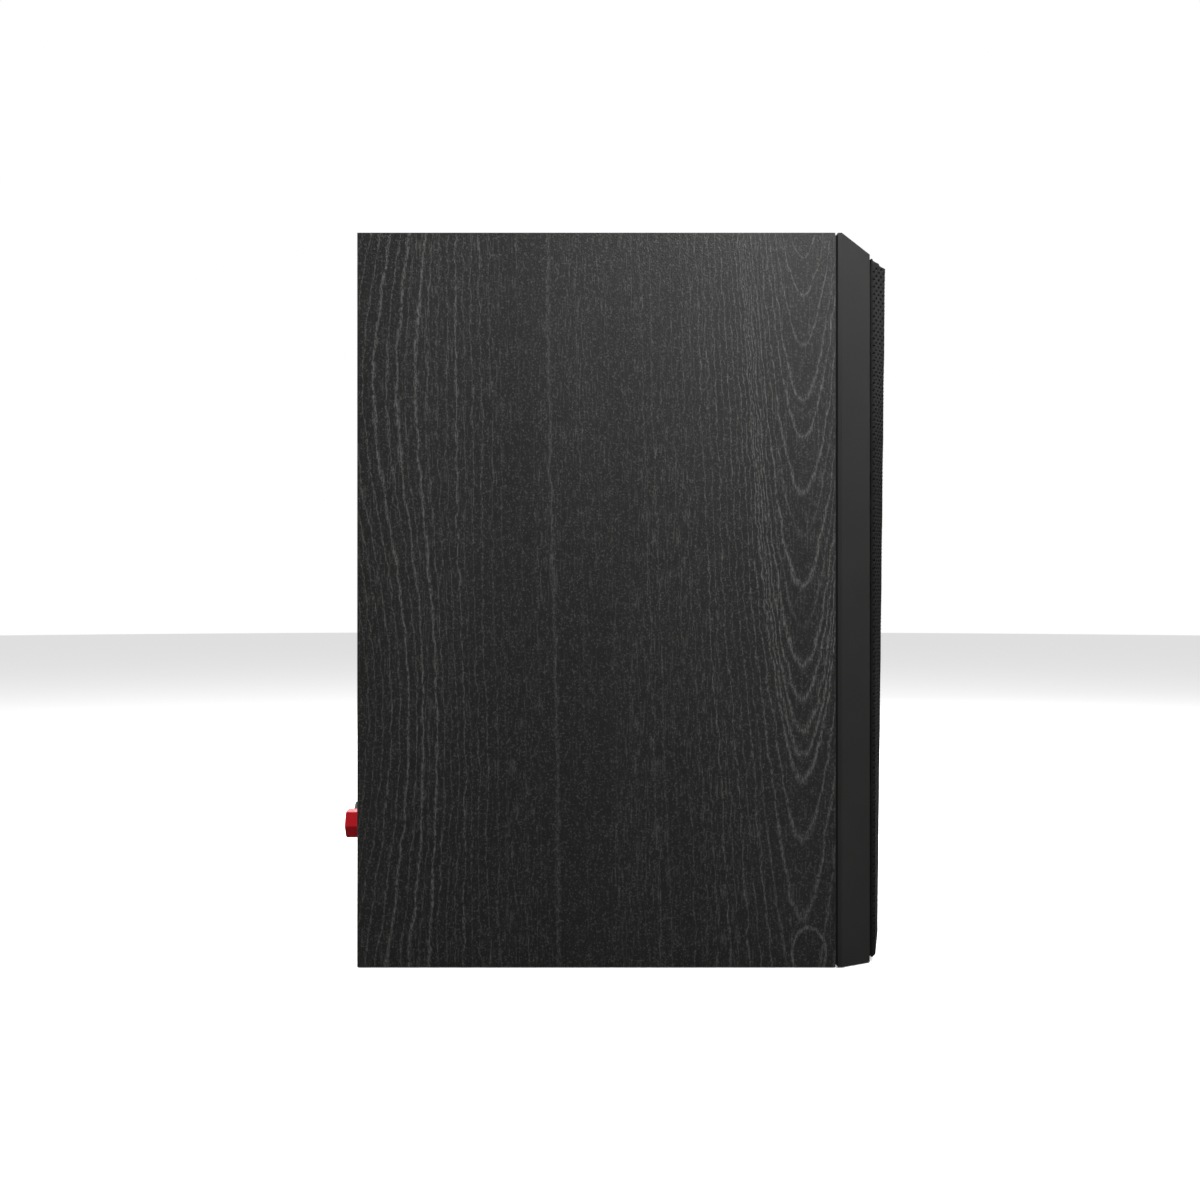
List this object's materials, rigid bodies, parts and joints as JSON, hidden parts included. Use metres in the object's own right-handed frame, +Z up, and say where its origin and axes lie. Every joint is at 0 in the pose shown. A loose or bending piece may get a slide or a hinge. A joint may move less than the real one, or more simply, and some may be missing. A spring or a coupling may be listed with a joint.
{
  "type": "bookshelf speaker",
  "caption": "Two-way bookshelf speaker: wrapped wooden cabinet, bevelled front trim, pull-off perforated grille, rear port and screw-down binding posts.",
  "frame": {"origin": "on the floor under the middle of the whole speaker, posts and grille included", "axes": "+Z up, the grille faces -Y, the binding posts face +Y, +X is to the right seen from the front"},
  "size_m": [0.185, 0.2512, 0.318],
  "materials": {
    "ash_vinyl": "black ash vinyl wrap, fine open grain, satin",
    "back_board": "black painted board",
    "raw_board": "bare fibre board",
    "wadding": "loose white polyester fibre",
    "trim_plastic": "fine matt moulded plastic",
    "socket_rubber": "soft black rubber",
    "frame_plastic": "black moulded plastic",
    "grille_steel": "perforated sheet, satin powder coat",
    "basket_steel": "satin black coat",
    "gasket_foam": "black closed-cell foam",
    "motor_steel": "zinc-plated turned steel",
    "ferrite": "sintered ferrite",
    "tag_board": "phenolic tag strip",
    "screw_black": "black oxide",
    "surround_rubber": "soft butyl rubber",
    "spider_cloth": "resin-treated cotton",
    "tinsel": "braided copper tinsel",
    "cone_paper": "coated paper pulp, fine fibre",
    "cap_paper": "coated dust cap",
    "former_film": "amber film",
    "copper_wire": "enamelled copper",
    "faceplate_plastic": "satin moulded plastic",
    "chamber_plastic": "moulded plastic",
    "tab_brass": "plated tabs",
    "dome_silk": "doped silk",
    "port_plastic": "black moulded plastic",
    "port_card": "wound card tube",
    "plate_plastic": "black moulded plastic",
    "stud_brass": "gold-plated brass",
    "post_red": "glossy red plastic",
    "post_black": "glossy black plastic",
    "board_green": "printed board with solder mask",
    "standoff_nylon": "natural nylon",
    "coil_copper": "wound enamelled copper",
    "capacitor_sleeve": "shrink sleeve",
    "resistor_cement": "cement block",
    "lead_red": "insulated wire",
    "lead_blue": "insulated wire"
  },
  "bodies": {
    "cabinet": {"side_panel_left": "ash_vinyl", "side_panel_right": "ash_vinyl", "top_panel": "ash_vinyl", "bottom_panel": "ash_vinyl", "back_panel": "back_board", "baffle_board": "raw_board", "cabinet_brace": "raw_board", "wadding_left": "wadding", "wadding_right": "wadding", "front_trim": "trim_plastic", "grille_sockets": "socket_rubber", "woofer_basket": "basket_steel", "woofer_gasket": "gasket_foam", "woofer_top_plate": "motor_steel", "woofer_magnet": "ferrite", "woofer_yoke": "motor_steel", "woofer_terminal": "tag_board", "woofer_screws": "screw_black", "woofer_surround": "surround_rubber", "woofer_spider": "spider_cloth", "tinsel_leads": "tinsel", "tweeter_faceplate": "faceplate_plastic", "tweeter_gasket": "gasket_foam", "tweeter_top_plate": "motor_steel", "tweeter_magnet": "ferrite", "tweeter_yoke": "motor_steel", "tweeter_chamber": "chamber_plastic", "tweeter_screws": "screw_black", "tweeter_tabs": "tab_brass", "tweeter_surround": "dome_silk", "port_flare": "port_plastic", "port_tube": "port_card", "terminal_plate": "plate_plastic", "terminal_screws": "screw_black", "post_studs": "stud_brass", "red_collar": "post_red", "black_collar": "post_black", "stud_nuts": "tab_brass", "solder_lugs": "tab_brass", "crossover_board": "board_green", "board_standoffs": "standoff_nylon", "woofer_inductor": "coil_copper", "tweeter_inductor": "coil_copper", "capacitors": "capacitor_sleeve", "resistors": "resistor_cement", "input_leads": "lead_red", "woofer_leads": "lead_red", "tweeter_leads": "lead_blue"},
    "grille": {"grille_frame": "frame_plastic", "grille_sheet": "grille_steel"},
    "woofer_cone": {"woofer_cone": "cone_paper", "dust_cap": "cap_paper", "woofer_former": "former_film", "woofer_winding": "copper_wire"},
    "tweeter_dome": {"tweeter_dome": "dome_silk", "tweeter_coil": "copper_wire"},
    "red_washer": {"red_washer": "stud_brass"},
    "red_cap": {"red_cap": "post_red"},
    "black_washer": {"black_washer": "stud_brass"},
    "black_cap": {"black_cap": "post_black"}
  },
  "joints": [
    {"name": "grille_pull", "type": "slide", "parent": "cabinet", "child": "grille", "axis": [0, -1, 0], "range_m": [0, 0.04]},
    {"name": "woofer_stroke", "type": "slide", "parent": "cabinet", "child": "woofer_cone", "axis": [0, -1, 0], "range_m": [-0.004, 0.004], "stiffness_N_per_m": 1200, "deforming": ["woofer_surround", "woofer_spider", "tinsel_leads"]},
    {"name": "tweeter_stroke", "type": "slide", "parent": "cabinet", "child": "tweeter_dome", "axis": [0, -1, 0], "range_m": [-0.0003, 0.0003], "stiffness_N_per_m": 200, "deforming": ["tweeter_surround"]},
    {"name": "red_travel", "type": "slide", "parent": "cabinet", "child": "red_washer", "axis": [0, 1, 0], "range_m": [0, 0.004]},
    {"name": "red_turn", "type": "hinge", "parent": "red_washer", "child": "red_cap", "pos_m": [-0.0115, 0.12, 0.049], "axis": [0, 1, 0], "range_deg": [0, 1440]},
    {"name": "black_travel", "type": "slide", "parent": "cabinet", "child": "black_washer", "axis": [0, 1, 0], "range_m": [0, 0.004]},
    {"name": "black_turn", "type": "hinge", "parent": "black_washer", "child": "black_cap", "pos_m": [0.0115, 0.12, 0.049], "axis": [0, 1, 0], "range_deg": [0, 1440]}
  ],
  "couplings": [
    {"joint": "red_turn", "follows": "red_travel", "rad_per_m": 6283.2},
    {"joint": "black_turn", "follows": "black_travel", "rad_per_m": 6283.2}
  ]
}
